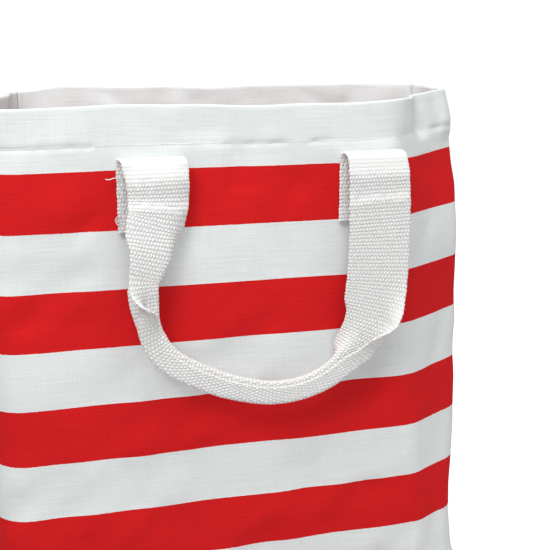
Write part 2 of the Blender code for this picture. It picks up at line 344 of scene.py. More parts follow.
def canvas_material(name, striped):
    """Plain-weave cotton canvas: fine crossing threads, slubs along the weft and slightly uneven dye."""
    n = Nodes(name)
    u, v = n.uv()
    slub = n.noise(u, v, 28, 900, detail=3.0, rough=0.6, seed=2.0)
    slub_up = n.noise(u, v, 900, 34, detail=2.0, rough=0.5, seed=5.0)
    mottled = n.noise(u, v, 60, 60, detail=4.0, rough=0.6, seed=9.0)
    shade = n.maths("ADD", n.map_range(slub, 0.3, 0.7, -0.035, 0.035),
                    n.map_range(slub_up, 0.3, 0.7, -0.015, 0.015))
    shade = n.maths("ADD", shade, n.map_range(mottled, 0.25, 0.75, 0.975, 1.025))
    if striped:
        ragged = n.map_range(n.noise(u, v, 1200, 1200, seed=4.0), 0.2, 0.8, -0.00018, 0.00018)
        drop = n.maths("ADD", n.maths("SUBTRACT", v, FIRST_WHITE * MM), ragged)
        phase = n.maths("FRACT", n.maths("DIVIDE", drop, 2 * BAND * MM))
        red_here = n.maths("MULTIPLY", n.maths("LESS_THAN", phase, 0.5),
                           n.maths("GREATER_THAN", drop, 0.0))
        colour = n.mix(red_here, WHITE, RED)
    else:
        colour = WHITE
    tint = n.put("ShaderNodeHueSaturation")
    n.link(shade, tint.inputs["Value"])
    n.link(colour, tint.inputs["Color"])
    n.link(tint.outputs["Color"], n.shader.inputs["Base Color"])
    n.link(n.map_range(mottled, 0.2, 0.8, 0.86, 0.94), n.shader.inputs["Roughness"])
    weave = n.maths("MULTIPLY", n.wave(u, CANVAS_PITCH), n.wave(v, CANVAS_PITCH, math.pi))
    other = n.maths("MULTIPLY", n.wave(u, CANVAS_PITCH, math.pi), n.wave(v, CANVAS_PITCH))
    threads = n.maths("MULTIPLY", n.maths("ADD", weave, other), 0.35)
    height = n.maths("ADD", threads, n.maths("MULTIPLY", slub, 1.5))
    height = n.maths("ADD", height, n.maths("MULTIPLY", slub_up, 0.5))
    n.bump(height, 0.00016, 0.8)
    n.set(Metallic=0.0, Specular_IOR_Level=0.12)
    return n.material


def webbing_material(name, length):
    """Coarse cotton webbing: rows of thread knuckles, half a step apart from row to row, with painted shade
    in the gaps between them and a painted highlight near each cut end.
    """
    n = Nodes(name)
    across, along = n.uv()
    drift_x = n.map_range(n.noise(across, along, 190, 190, seed=1.0), 0.2, 0.8, -0.00032, 0.00032)
    drift_y = n.map_range(n.noise(across, along, 150, 230, seed=6.0), 0.2, 0.8, -0.00028, 0.00028)
    x = n.maths("ADD", n.maths("ADD", across, drift_x), n.maths("MULTIPLY", along, 0.12))
    y = n.maths("ADD", along, drift_y)
    side_wave = n.maths("COSINE", n.maths("MULTIPLY", x, TAU / KNUCKLE_PITCH))
    row_wave = n.maths("COSINE", n.maths("MULTIPLY", y, math.pi / (RIB_PITCH * MM)))
    lattice = n.maths("MULTIPLY", side_wave, row_wave)
    row_edge = n.maths("MULTIPLY", row_wave, row_wave)
    raised = n.maths("ADD", lattice, n.maths("MULTIPLY", row_edge, 0.95))
    loop = n.map_range(raised, -0.7, 1.5, 0.0, 1.0, smooth_step=True)
    fuzz = n.noise(across, along, 1700, 1700, detail=3.0, rough=0.6, seed=7.0)
    worn = n.noise(across, along, 120, 160, detail=3.0, seed=3.0)
    height = n.maths("ADD", loop, n.maths("MULTIPLY", fuzz, 0.35))
    # Painted shade: the colour runs from the white on the knuckles' tops to the darker grey in the gaps
    # between them
    light = n.map_range(n.maths("ADD", raised, n.maths("MULTIPLY", fuzz, 0.5)), -0.45, 0.75, 0.0, 1.0)
    from_end = n.maths("MINIMUM", along, n.maths("SUBTRACT", length, along))
    from_end = n.maths("ADD", from_end, n.map_range(worn, 0.3, 0.7, -0.002, 0.002))
    # Painted highlight: over the top of each fold the colour is lifted to full white and the knuckles are
    # flattened; a lighter, flatter line crosses the webbing further down
    highlight_bands = n.maths("MAXIMUM", n.band(from_end, PRESSED_FOLD_HIGHLIGHT), n.band(from_end, LIGHTER_LINE, 0.6))
    light = n.maths("ADD", light, n.maths("MULTIPLY", highlight_bands, 0.75))
    height = n.maths("MULTIPLY", height, n.maths("SUBTRACT", 1.0, n.maths("MULTIPLY", highlight_bands, 0.75)))
    light = n.maths("MULTIPLY", light, n.map_range(worn, 0.25, 0.75, 0.88, 1.0), clamp=True)
    colour = n.mix(light, WEB_PAINTED_SHADE, WEB_WHITE)
    n.link(colour, n.shader.inputs["Base Color"])
    n.link(n.map_range(fuzz, 0.2, 0.8, 0.8, 0.95), n.shader.inputs["Roughness"])
    n.bump(height, 0.0006, 0.8)
    n.set(Metallic=0.0, Sheen_Weight=0.1, Sheen_Roughness=0.5, Specular_IOR_Level=0.2)
    return n.material


def thread_material(name):
    """Matt sewing thread with a fine uneven shade."""
    n = Nodes(name)
    spot = n.put("ShaderNodeTexNoise")
    place = n.put("ShaderNodeTexCoord")
    n.link(place.outputs["Object"], spot.inputs["Vector"])
    spot.inputs["Scale"].default_value = 2400.0
    spot.inputs["Detail"].default_value = 2.0
    n.link(n.mix(spot.outputs["Fac"], THREAD_SHADE, THREAD_WHITE), n.shader.inputs["Base Color"])
    n.bump(spot.outputs["Fac"], 0.0001, 0.6)
    n.set(Metallic=0.0, Roughness=0.75, Sheen_Weight=0.2)
    return n.material


striped = canvas_material("striped_canvas", True)
plain = canvas_material("white_canvas", False)
thread = thread_material("thread")


# ---- Plan outline ----

def plan_corners(z):
    """The plan's sharp corners at height z."""
    share = min(max(z / HEIGHT, 0.0), 1.0)
    lower = 0 if share < LEVELS[1] else 1
    t = float(smooth((share - LEVELS[lower]) / (LEVELS[lower + 1] - LEVELS[lower])))
    return [np.array(c[lower], float) * (1 - t) + np.array(c[lower + 1], float) * t for c in PLAN]


def unit(vector):
    return vector / np.linalg.norm(vector)


def outline(z, inset=0.0):
    """Points of the rounded plan at height z, moved inwards by inset, anticlockwise from the front left."""
    sharp = plan_corners(z)
    count = len(sharp)
    corners = []
    for i, corner in enumerate(sharp):
        edge_in = unit(corner - sharp[i - 1])
        edge_out = unit(sharp[(i + 1) % count] - corner)
        normals = np.array((-edge_in[1], edge_in[0])) + np.array((-edge_out[1], edge_out[0]))
        corners.append(corner + normals * inset * 2 / normals.dot(normals))
    arcs = []
    for i, corner in enumerate(corners):
        to_before = unit(corners[i - 1] - corner)
        to_after = unit(corners[(i + 1) % count] - corner)
        half = math.acos(float(np.clip(to_before.dot(to_after), -1, 1))) / 2
        radius = CORNER_RADIUS[i] - inset
        centre = corner + unit(to_before + to_after) * radius / math.sin(half)
        start = corner + to_before * radius / math.tan(half) - centre
        angle = (math.pi - 2 * half) * np.arange(ARC_STEPS + 1) / ARC_STEPS
        arcs.append(np.stack([centre[0] + start[0] * np.cos(angle) - start[1] * np.sin(angle),
                              centre[1] + start[0] * np.sin(angle) + start[1] * np.cos(angle)], axis=1))
    points = []
    for i, arc in enumerate(arcs):
        points.append(arc)
        share = np.arange(1, WALL_STEPS[i])[:, None] / WALL_STEPS[i]
        points.append(arc[-1] * (1 - share) + arcs[(i + 1) % count][0] * share)
    ring = np.concatenate(points)
    for _ in range(3):
        ring = ring / 2 + (np.roll(ring, 1, axis=0) + np.roll(ring, -1, axis=0)) / 4
    return ring


PLAN_X = [c[0] for level in LEVELS for c in outline(level * HEIGHT)]
PLAN_SHIFT = -(min(PLAN_X) + max(PLAN_X)) / 2
# Column numbers where each rounded corner starts, and lengths along the cloth at half the height
CORNER_START = np.concatenate([[0], np.cumsum([ARC_STEPS + steps for steps in WALL_STEPS])])
RING = CORNER_START[-1]
BACK_RIGHT_SEAM = CORNER_START[3] + ARC_STEPS // 2
BACK_LEFT_SEAM = CORNER_START[4] + ARC_STEPS // 2
MIDDLE = outline(0.5 * HEIGHT)
AROUND = np.concatenate([[0], np.cumsum(np.linalg.norm(np.diff(MIDDLE, axis=0), axis=1))])
PERIMETER = AROUND[-1] + np.linalg.norm(MIDDLE[0] - MIDDLE[-1])


# ---- Wall cloth ----

def wall_profile():
    """Rows of the wall from its turned-under lower edge, up the outside, over the rim and down the hem:
    height, inset of the middle of the cloth, and share of hem (0 outside, 1 inside)."""
    rows = []
    low_centre = 0.7 + BOTTOM_RADIUS
    for k in range(5):
        angle = math.radians(90 * k / 4)
        rows.append((low_centre - BOTTOM_RADIUS * math.cos(angle),
                     CLOTH_HALF + BOTTOM_RADIUS * (1 - math.sin(angle)), 0))
    top_centre = HEIGHT - CLOTH_HALF - RIM_RADIUS
    heights = np.concatenate([np.arange(low_centre + 2.8, 318, 2.8), np.arange(318, top_centre - 0.5, 1.25)])
    rows += [(z, CLOTH_HALF, 0) for z in heights]
    for k in range(7):
        angle = math.radians(180 * k / 6)
        rows.append((top_centre + RIM_RADIUS * math.sin(angle),
                     CLOTH_HALF + RIM_RADIUS * (1 - math.cos(angle)), k / 6))
    hem_heights = np.linspace(top_centre - 1.5, HEIGHT - HEM_DEPTH, 14)
    rows += [(z, CLOTH_HALF + 2 * RIM_RADIUS, 1) for z in hem_heights]
    return rows


def relief(u, z, column):
    """How far the cloth stands out from the plain plan, in mm, at u around the bag and height z."""
    stand = 0.8 * drift(u, z, 3, 105) + 0.3 * drift(u, z, 5, 42)
    stand = stand * smooth(z / 40)
    # Soft slanting dents, as pressed canvas keeps when it has been folded
    slant = 0.5 * (u + z)
    dents = drift(slant, z - 0.6 * u, 41, 34) * smooth(0.5 + drift(u, z, 42, 90))
    stand = stand + 0.55 * dents * smooth(z / 60) * smooth((322 - z) / 20)
    back_half = smooth((column - CORNER_START[2]) / 12)
    stand = stand * (1 + 0.8 * back_half)
    right_side = smooth((column - CORNER_START[1]) / 6) * smooth((CORNER_START[3] + ARC_STEPS - column) / 10)
    stand = stand * (1 - 0.7 * right_side)
    # The hem: a sunk seam line with small puckers on both sides of it
    seam = np.exp(-((z - STITCH_Z) / 1.3) ** 2)
    stand = stand - (0.7 + 0.30 * drift(u, z * 0, 11, 8)) * seam
    stand = stand + 0.36 * drift(u, z * 0.3, 12, 11) * np.exp(-np.abs(z - STITCH_Z) / 8)
    stand = stand + 0.25 * smooth((z - STITCH_Z - 1) / 3)
    return stand


# Front right corner, in mm: creases up the hem as depth, place around the bag and width (a ridge stands out),
# and slanting dents as depth, place, height, slant, width and length
HEM_CREASES = ((5.0, 303, 6), (1.6, 272, 12))
HEM_RIDGE = (4.4, 327, 9)
SLANTED_DENTS = (
    (1.2, 284.05, 322, -0.35, 4, 9),
    (1.1, 300, 268, 0.5, 9, 16),
    (1.0, 312, 190, 0.4, 8, 18),
)


def corner_shape(u, z):
    """The front right corner: drawn in at the rim, and creased where the hem turns round it."""
    drawn_in = np.interp(z, (325, 340, 352), (1.2, 3.4, 6.6)) * smooth((z - 290) / 35)
    stand = -drawn_in * plateau(u, 290, 38, 410, 60)
    hem = smooth((z - 322) / 10)
    for depth, place, width in HEM_CREASES:
        stand = stand - depth * hem * np.exp(-((u - place) / width) ** 2)
    height, place, width = HEM_RIDGE
    stand = stand + height * smooth((z - 316) / 18) * np.exp(-((u - place) / width) ** 2)
    for depth, place, level, slant, width, length in SLANTED_DENTS:
        away = (u - place - (z - level) * slant) / width
        stand = stand - depth * np.exp(-away ** 2 - ((z - level) / length) ** 2)
    return stand


def corner_draw(u, z):
    """How far the front right corner is drawn to the left above the base, where the bag is narrower."""
    size = np.interp(z, (0, 20, 40, 64, 84, 101, 135, 165, 200, 240, 290, 335),
                     (0.0, 2.0, 6.4, 9.4, 8.8, 7.4, 5.0, 2.2, 0.4, 1.8, 1.8, 0.0))
    return size * plateau(u, 255, 80, 425, 60)


def rim_wave(u):
    """How much higher or lower than its plain level the rim is, in mm."""
    waves = 0.5 * drift(u, u * 0, 21, 150) + 0.25 * drift(u, u * 0, 22, 60)
    front_sag = -1.1 * plateau(u, -60, 40, 290, 40)
    raised_corner = 3.0 * plateau(u, 296, 34, 400, 50)
    raised_back = 2.2 * plateau(u, 440, 50, 840, 40)
    return waves + front_sag + raised_corner + raised_back


def corner_seam_dip(column, z):
    """How deep the two sewn back corners are pulled in, in mm."""
    dip = 0.0
    for seam in (BACK_RIGHT_SEAM, BACK_LEFT_SEAM):
        away = np.abs(column - seam)
        dip = dip + np.exp(-(away / 0.9) ** 2)
    return dip * (1.3 + 0.3 * drift(z, z * 0, 31, 26)) * (1 - 0.6 * smooth((z - 325) / 20))


def patch_mask(x, z):
    """1 where a strap end is sewn on, where the cloth lies flat."""
    mask = 0.0
    for facing, (hinge_x, _, _) in ((1, HINGE["front"]), (-1, HINGE["back"])):
        for end_x in (LEFT_END_X, RIGHT_END_X):
            mask = np.maximum(mask, smooth((34 - np.abs(x - hinge_x - facing * end_x)) / 12)
                              * smooth((38 - np.abs(z - 300)) / 14))
    return mask


def behind_handle(x, z):
    """1 where a hanging handle rests against the cloth and keeps it from bulging out."""
    reach = 135 - max(abs(hinge[0]) for hinge in HINGE.values())
    return smooth((reach - np.abs(x)) / 20) * smooth((z - 165) / 25)


def wall_cloth():
    """Middle surface of all the wall cloth as rows of a closed ring, with its normals and the distance of
    each point below the rim along the cloth."""
    columns = np.arange(RING)
    u = np.where(columns > BACK_LEFT_SEAM, AROUND - PERIMETER, AROUND)
    calm = smooth(np.abs(columns - BACK_LEFT_SEAM) / 14)
    rows = wall_profile()
    grid = np.zeros((len(rows), RING, 3))
    v = np.zeros((len(rows), RING))
    for r, (z, inset, hem) in enumerate(rows):
        ring = outline(z)
        tangent = np.roll(ring, -1, axis=0) - np.roll(ring, 1, axis=0)
        outward = np.stack([tangent[:, 1], -tangent[:, 0]], axis=1)
        outward /= np.linalg.norm(outward, axis=1, keepdims=True)
        x = ring[:, 0] + PLAN_SHIFT
        zz = np.full(RING, z)
        stand = relief(u, zz, columns) * calm
        stand = stand - np.maximum(stand, 0) * 0.95 * behind_handle(x, zz)
        flat = patch_mask(x, zz)
        stand = stand * (1 - flat) - 0.15 * flat + corner_shape(u, zz)
        stand = stand - corner_seam_dip(columns, zz) * (1 - 0.5 * hem)
        if hem > 0.99:
            stand = stand + 0.25 * drift(u, zz, 41, 30) * smooth((HEIGHT - z) / 10) * calm
        place = ring + outward * (stand - inset)[:, None]
        place[:, 0] -= corner_draw(u, zz)
        lift = rim_wave(u) * calm * smooth((z - 296) / 54)
        grid[r] = np.stack([place[:, 0] + PLAN_SHIFT, place[:, 1], z + lift], axis=1)
        v[r] = HEIGHT - z if hem == 0 else -(HEIGHT - z) - 1
    normals = grid_normals(grid, ring=True)
    middle = len(rows) // 3
    if normals[middle, 3, :2] @ grid[middle, 3, :2] < 0:
        normals = -normals
    return grid, normals, v


wall_grid, wall_normals, wall_v = wall_cloth()


def add_wall(name, first, last, material):
    """One panel from a range of the ring's columns, with its grid, normals and cloth coordinates."""
    columns = np.arange(first, last + 1)
    wrapped = columns % RING
    grid, normals, v = wall_grid[:, wrapped], wall_normals[:, wrapped], wall_v[:, wrapped]
    u = AROUND[wrapped] + PERIMETER * (columns // RING)
    uv = np.stack([np.broadcast_to(u, v.shape), v], axis=2)
    piece = sheet_shell(name, grid + normals * CLOTH_HALF, grid - normals * CLOTH_HALF, uv, material)
    return piece, grid, normals, uv


front_piece, front_grid, front_normals, front_uv = add_wall(
    "front_and_sides_cloth", BACK_LEFT_SEAM - RING, BACK_RIGHT_SEAM, striped)
back_piece, back_grid, back_normals, back_uv = add_wall(
    "back_cloth", BACK_RIGHT_SEAM, BACK_LEFT_SEAM, striped)
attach(front_piece, "bag")
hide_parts("front_and_sides_panel", "mouth_hem")
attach(back_piece, "bag")
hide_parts("back_panel", "mouth_hem")


# ---- Base, seam allowances ----

def ring_points(z, inset):
    """The rounded plan at height z as points in space."""
    ring = outline(z, inset)
    return np.stack([ring[:, 0] + PLAN_SHIFT, ring[:, 1], np.full(len(ring), z)], axis=1)


def add_base():
    """A laid panel from its edge to its middle, as rings that shrink towards one point."""
    edge = ring_points(0.0, 4.4)
    centre = edge.mean(axis=0)
    rows = []
    for share in np.concatenate([np.linspace(1, 0.1, 40), [0.04]]):
        ring = centre + (edge - centre) * share
        soft = smooth((1 - share) / 0.12)
        ring[:, 2] = 1.0 + soft * (0.5 + 0.35 * drift(ring[:, 0], ring[:, 1], 51, 70))
        rows.append(ring)
    grid = np.array(rows)
    normals = grid_normals(grid, ring=True)
    if normals[10, 5, 2] < 0:
        normals = -normals
    top, bottom = grid + normals * CLOTH_HALF, grid - normals * CLOTH_HALF
    rows_count, columns = grid.shape[:2]
    count = rows_count * columns
    quads = grid_quads(rows_count, columns, ring=True)
    last = (rows_count - 1) * columns + np.arange(columns)
    first = np.arange(columns)
    edge_quads = np.stack([first, np.roll(first, -1), np.roll(first, -1) + count, first + count], axis=1)
    faces = [tuple(int(i) for i in q[::-1]) for q in quads]
    faces += [tuple(int(i) + count for i in q) for q in quads]
    faces += [tuple(int(i) for i in q) for q in edge_quads]
    faces.append(tuple(int(i) for i in last[::-1]))
    faces.append(tuple(int(i) + count for i in last))
    vertices = np.concatenate([top.reshape(-1, 3), bottom.reshape(-1, 3)]) * MM
    return new_piece("base_cloth", vertices, faces, vertices[:, :2].copy(), plain)


def add_strip(name, columns, low, high, offset, thickness, ring=False):
    """A narrow seam allowance that lies along the inside of the wall, between two heights."""
    rows = [r for r, row in enumerate(wall_profile()) if low < row[0] < high and row[2] == 0]
    wrapped = np.array(columns) % RING
    grid, normals = wall_grid[rows][:, wrapped], wall_normals[rows][:, wrapped]
    wave = 0.12 * drift(grid[..., 0] + grid[..., 1], grid[..., 2], 62, 18)
    grid = grid - normals * (CLOTH_HALF + offset + thickness / 2 + wave)[..., None]
    uv = np.stack([grid[..., 0] + grid[..., 1], HEIGHT - grid[..., 2]], axis=2)
    return sheet_shell(name, grid + normals * thickness / 2, grid - normals * thickness / 2, uv, plain, ring)


base_piece = add_base()
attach(base_piece, "bag")
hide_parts("base_panel")

base_seam_piece = add_strip("base_seam_cloth", range(RING), 4.0, 16.0, 0.3, 1.2, ring=True)
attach(base_seam_piece, "bag")
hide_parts("base_seam")

for seam_name, start in (("back_right_seam", BACK_RIGHT_SEAM), ("back_left_seam", BACK_LEFT_SEAM - 3)):
    strip = add_strip(seam_name + "_cloth", range(start, start + 4), 17.0, 327.0, 0.3, 1.6)
    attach(strip, "bag")
    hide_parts(seam_name)


# ---- Hem stitches ----

def stitch_row(grid, normals, uv, height, outside, pitch=2.8):
    """Centres, directions and normals of the stitches along one panel's hem seam."""
    rows = wall_profile()
    wanted = [r for r, row in enumerate(rows) if (row[2] == 0) == outside and 300 < row[0] < HEIGHT - 2]
    row = min(wanted, key=lambda r: abs(rows[r][0] - height))
    surface = grid[row] + normals[row] * CLOTH_HALF
    along = uv[row, :, 0]
    spots = np.arange(along[0] + 1.5, along[-1] - 1.5, pitch)
    centres = np.stack([np.interp(spots, along, surface[:, k]) for k in range(3)], axis=1)
    nexts = np.stack([np.interp(spots + 0.7, along, surface[:, k]) for k in range(3)], axis=1)
    normal = np.stack([np.interp(spots, along, normals[row, :, k]) for k in range(3)], axis=1)
    tilt = np.random.default_rng(71).normal(0, 0.05, len(spots))
    directions = nexts - centres
    directions[:, 2] += tilt
    return centres + normal * 0.1, directions, normal


hem_spots = []
for cloth in ((front_grid, front_normals, front_uv), (back_grid, back_normals, back_uv)):
    hem_spots.append(stitch_row(*cloth, STITCH_Z, True))
    hem_spots.append(stitch_row(*cloth, STITCH_Z + 0.6, False))
centres, directions, stitch_normals = (np.concatenate([spot[k] for spot in hem_spots]) for k in range(3))
hem_stitches = capsules("hem_stitches", centres, directions, stitch_normals, 2.3, 0.24, thread, droop=0.12)
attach(hem_stitches, "bag")
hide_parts("hem_stitching")


# ---- Webbing handles ----

# Hanging part, in mm from the hinge: x, z, distance in front of the hinge, squeeze of the width, turn of the
# outer edge forwards, turn of the inner edge backwards and roll, in degrees, and how far the inner fold has
# moved outwards in mm
STATIONS = (
    (-61.6, -9, 5.0, 0.93, -8, 10, 0, 0),
    (-60.9, -15, 5.0, 0.915, -10, 14, -1, 0),
    (-60.8, -22, 4.6, 0.91, -9, 20, -2, 0),
    (-61.3, -27.5, 5.8, 0.91, -8, 26, -3, 0),
    (-62.2, -33, 6.0, 0.91, -7, 34, -4, 0.2),
    (-64.6, -41, 7.2, 0.93, -6, 46, -6, 0.6),
    (-66.5, -50, 8.6, 0.93, -4, 70, -8, 1.8),
    (-69.6, -61, 9.4, 0.90, 0, 108, -10, 4.0),
    (-72.0, -69, 9.2, 0.89, 4, 136, -12, 6.6),
    (-72.0, -77, 8.9, 0.92, 44, 150, -10, 7.0),
    (-71.5, -85, 8.5, 0.97, 116, 160, -5, 5.0),
    (-70.2, -93.5, 8.2, 1.0, 168, 168, 1, 2.4),
    (-67.4, -103, 8.0, 1.0, 184, 176, 3, 0.8),
    (-62.6, -112.5, 8.0, 1.0, 184, 180, 3, 0),
    (-54.0, -121, 8.2, 0.99, 184, 180, 3, 0),
    (-41.3, -128.5, 8.4, 0.96, 184, 180, 3, 0),
    (-23.2, -136.8, 8.6, 0.93, 184, 180, 3, 0),
    (-1.6, -142.8, 8.8, 0.90, 184, 180, 3, 0),
    (14.0, -143.8, 8.8, 0.88, 184, 180, 3, 0),
    (27.0, -142.0, 8.6, 0.87, 184, 179, 3, 0),
    (38.5, -138.0, 8.4, 0.90, 184, 176, 3, 0),
    (48.0, -132.4, 8.2, 0.95, 183, 150, 3, 0),
    (56.0, -125.3, 7.8, 1.0, 178, 92, 4, 0),
    (63.0, -115.0, 6.8, 1.0, 158, 40, 1, 0),
    (68.0, -103.5, 5.8, 1.0, 100, 14, 0, 0),
    (71.8, -91.0, 5.2, 1.0, 38, 4, 0, 0),
    (74.2, -78.0, 4.8, 1.0, 8, 0, 0, 0),
    (75.6, -55.0, 4.6, 1.0, 0, 0, 0, 0),
    (75.4, -36.0, 4.6, 1.0, 0, 0, 0, 0),
    (75.2, -29.0, 5.0, 0.995, 0, 0, 0, 0),
    (75.0, -22.0, 4.4, 0.99, 0, 0, 0, 0),
    (74.7, -15.0, 4.8, 0.98, 0, 0, 0, 0),
    (74.3, -9.0, 4.4, 0.97, 0, 0, 0, 0),
)
# The webbing's grid: rows this far apart in mm, and columns across it
ROW_STEP = 0.62
ACROSS = 45


def catmull(controls, steps):
    """A smooth curve through rows of numbers."""
    controls = np.array(controls, float)
    padded = np.concatenate([controls[:1], controls, controls[-1:]])
    out = []
    for i in range(len(controls) - 1):
        a, b, c, d = padded[i:i + 4]
        for k in range(steps):
            t = k / steps
            out.append(0.5 * (2 * b + (c - a) * t + (2 * a - 5 * b + 4 * c - d) * t ** 2
                              + (3 * b - a - 3 * c + d) * t ** 3))
    out.append(controls[-1])
    return np.array(out)


def fold_over(end_x, shift_x, angles):
    """Rows round the fold at a sewn end: at 0 degrees it lies on the cloth, at 180 it hangs in front."""
    rows = []
    for angle in angles:
        turn = math.radians(angle)
        shift = smooth((angle - 40) / 140)
        rows.append((end_x + shift_x * shift, LOOP_Z + LOOP_RADIUS * math.sin(turn),
                     -LOOP_RADIUS * math.cos(turn), 0.95 + 0.01 * shift, 0, 0, 0, 0, angle, 1))
    return rows


def strap_path():
    """Points along the whole webbing: the numbers of STATIONS, then the turn of its face and how far its
    width is held level."""
    rows = []
    for z in np.linspace(SEWN_LOW, LOOP_Z, 24):
        end = smooth((z - SEWN_LOW) / 9)
        lean = smooth(z / SEWN_LOW)
        rows.append((LEFT_END_X - 0.8 * lean, z, -LOOP_RADIUS + 0.5 * (1 - end), 0.95 - 0.05 * lean,
                     0, 0, 0, 0, 0, 1))
    rows += fold_over(LEFT_END_X, 2.4, np.linspace(0, 180, 19))
    left_exit = (rows[-1][0], LOOP_Z, LOOP_RADIUS, rows[-1][3], -6, 6, 0, 0)
    right_entry = (RIGHT_END_X + 2.6, LOOP_Z, LOOP_RADIUS, 0.96, 0, 0, 0, 0)
    for hanging in catmull((left_exit,) + STATIONS + (right_entry,), 10):
        level = 1 - smooth((-hanging[1] - 4) / 34)
        rows.append((*hanging, 180, level))
    rows += fold_over(RIGHT_END_X, 2.6, np.linspace(180, 0, 19))
    for z in np.linspace(LOOP_Z, SEWN_LOW, 24):
        end = smooth((z - SEWN_LOW) / 9)
        rows.append((RIGHT_END_X, z, -LOOP_RADIUS + 0.5 * (1 - end), 0.95 + 0.03 * (1 - end),
                     0, 0, 0, 0, 0, 1))
    rows = np.array(rows)
    keep = np.append(True, np.linalg.norm(np.diff(rows[:, :3], axis=0), axis=1) > 1e-6)
    rows = rows[keep]
    length = np.concatenate([[0], np.cumsum(np.linalg.norm(np.diff(rows[:, :3], axis=0), axis=1))])
    s = np.linspace(0, length[-1], int(length[-1] / ROW_STEP) + 1)
    path = np.stack([np.interp(s, length, rows[:, k]) for k in range(rows.shape[1])], axis=1)
    for _ in range(6):
        path[1:-1] = path[1:-1] / 2 + (path[2:] + path[:-2]) / 4
    return s, path


def strap_section(w, squeeze, outer, inner, roll, moved):
    """The webbing's cross-section: its outer edge turned forwards, its inner edge turned backwards."""
    fine = np.linspace(-WEB_HALF_WIDTH, WEB_HALF_WIDTH, 401)
    tight_out = float(smooth(outer / TIGHT_TURN))
    tight_in = float(smooth(inner / TIGHT_TURN))
    arc_out = SOFT_BEND + (TIGHT_BEND - SOFT_BEND) * tight_out
    arc_in = SOFT_BEND + (TIGHT_BEND - SOFT_BEND) * tight_in
    mid_out = SOFT_FOLD + (OUTER_FOLD - SOFT_FOLD) * tight_out
    mid_in = SOFT_FOLD + (INNER_FOLD - SOFT_FOLD) * tight_in - moved
    heading = -math.radians(outer) * smooth((-fine - mid_out + arc_out / 2) / arc_out)
    heading = heading - math.radians(inner) * smooth((fine - mid_in + arc_in / 2) / arc_in)
    step = fine[1] - fine[0]
    a = np.cumsum(np.cos(heading)) * step * squeeze
    b = np.cumsum(np.sin(heading)) * step
    centre = len(fine) // 2
    a, b = a - a[centre], b - b[centre]
    turn = math.radians(roll)
    a, b = a * math.cos(turn) - b * math.sin(turn), a * math.sin(turn) + b * math.cos(turn)
    a = a - (a.max() + a.min()) / 2
    return np.interp(w, fine, a), np.interp(w, fine, b)


def strap_grid():
    """Middle surface of the webbing in mm from the hinge, in the front handle's own axes."""
    s, path = strap_path()
    # Columns across the webbing, a little closer together near its edges
    reach = math.pi / 2 * 0.93
    crowded = np.sin(np.linspace(-1, 1, ACROSS) * reach) / math.sin(reach) * WEB_HALF_WIDTH
    w = 0.35 * crowded + 0.65 * np.linspace(-WEB_HALF_WIDTH, WEB_HALF_WIDTH, ACROSS)
    x, z, forward, squeeze, outer, inner, roll, moved, face, held_level = path.T
    spine = np.stack([x, -forward, z], axis=1)
    tangent = np.gradient(spine, axis=0)
    turn = np.radians(face)
    normal = np.stack([np.zeros_like(turn), np.cos(turn), np.sin(turn)], axis=1)
    across = np.cross(normal, tangent)
    across /= np.linalg.norm(across, axis=1, keepdims=True)
    level = np.zeros_like(across)
    level[:, 0] = np.where(s < s[-1] / 2, 1.0, -1.0)
    across = across * (1 - held_level[:, None]) + level * held_level[:, None]
    across /= np.linalg.norm(across, axis=1, keepdims=True)
    grid = np.zeros((len(s), ACROSS, 3))
    for r in range(len(s)):
        edge = 1 + 0.010 * math.cos(TAU * s[r] / RIB_PITCH) + 0.006 * math.sin(s[r] * 0.61)
        a, b = strap_section(w, squeeze[r], outer[r], inner[r], roll[r], moved[r])
        grid[r] = spine[r] + across[r] * (a * edge)[:, None] + normal[r] * b[:, None]
    return s, w, grid


strap_s, strap_w, strap_mid = strap_grid()
webbing = webbing_material("webbing", float(strap_s[-1]) * MM)


def strap_surfaces(mid):
    """Front and back skins of the webbing, with its ribs, rounded edges and slightly swollen cut ends."""
    normals = grid_normals(mid)
    inside = np.clip((np.abs(strap_w) - (WEB_HALF_WIDTH - WEB_HALF)) / WEB_HALF, 0, 1)
    taper = np.sqrt(np.clip(1 - inside ** 2, 0.04, 1))
    end = smooth((9 - np.minimum(strap_s, strap_s[-1] - strap_s)) / 3)
    thick = (WEB_HALF + 0.25 * end)[:, None] * taper[None, :]
    rib = RIB_HEIGHT * np.cos(TAU * strap_s / RIB_PITCH)[:, None] * taper[None, :]
    return mid + normals * (thick + rib)[..., None], mid - normals * (thick + rib)[..., None]


def to_world(points, which):
    """From the front handle's axes at its hinge to the bag's frame; the back handle is turned half round."""
    hinge = np.array(HINGE[which])
    turned = points * (np.array((1, 1, 1)) if which == "front" else np.array((-1, -1, 1)))
    return turned + hinge


def soften_cut(piece, rows, cut_row):
    """Keep a cut end of the webbing sharp, so that the parts on its two sides are shaded alike."""
    first = cut_row * ACROSS
    chosen = set(range(first, first + ACROSS))
    chosen |= {rows * ACROSS + index for index in chosen}
    for edge in piece.data.edges:
        if edge.vertices[0] in chosen and edge.vertices[1] in chosen:
            edge.use_edge_sharp = True


def add_strap_part(which, name, first, last, nodes, swings):
    """Rows first to last of the webbing: the grip swings with its body, the fold at each end is baked in
    place.
    """
    front, back = strap_surfaces(strap_mid)
    uv = np.stack(np.broadcast_arrays(strap_w[None, :] + WEB_HALF_WIDTH, strap_s[:, None]), axis=2)
    part = slice(first, last + 1)
    piece = sheet_shell("%s_%s" % (which, name), to_world(front[part], which), to_world(back[part], which),
                        uv[part], webbing)
    rows = last + 1 - first
    if first > 0:
        soften_cut(piece, rows, 0)
    if last < len(strap_s) - 1:
        soften_cut(piece, rows, rows - 1)
    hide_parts(*("%s_%s" % (which, node) for node in nodes))
    if swings:
        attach(piece, which + "_handle")
    else:
        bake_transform(piece)


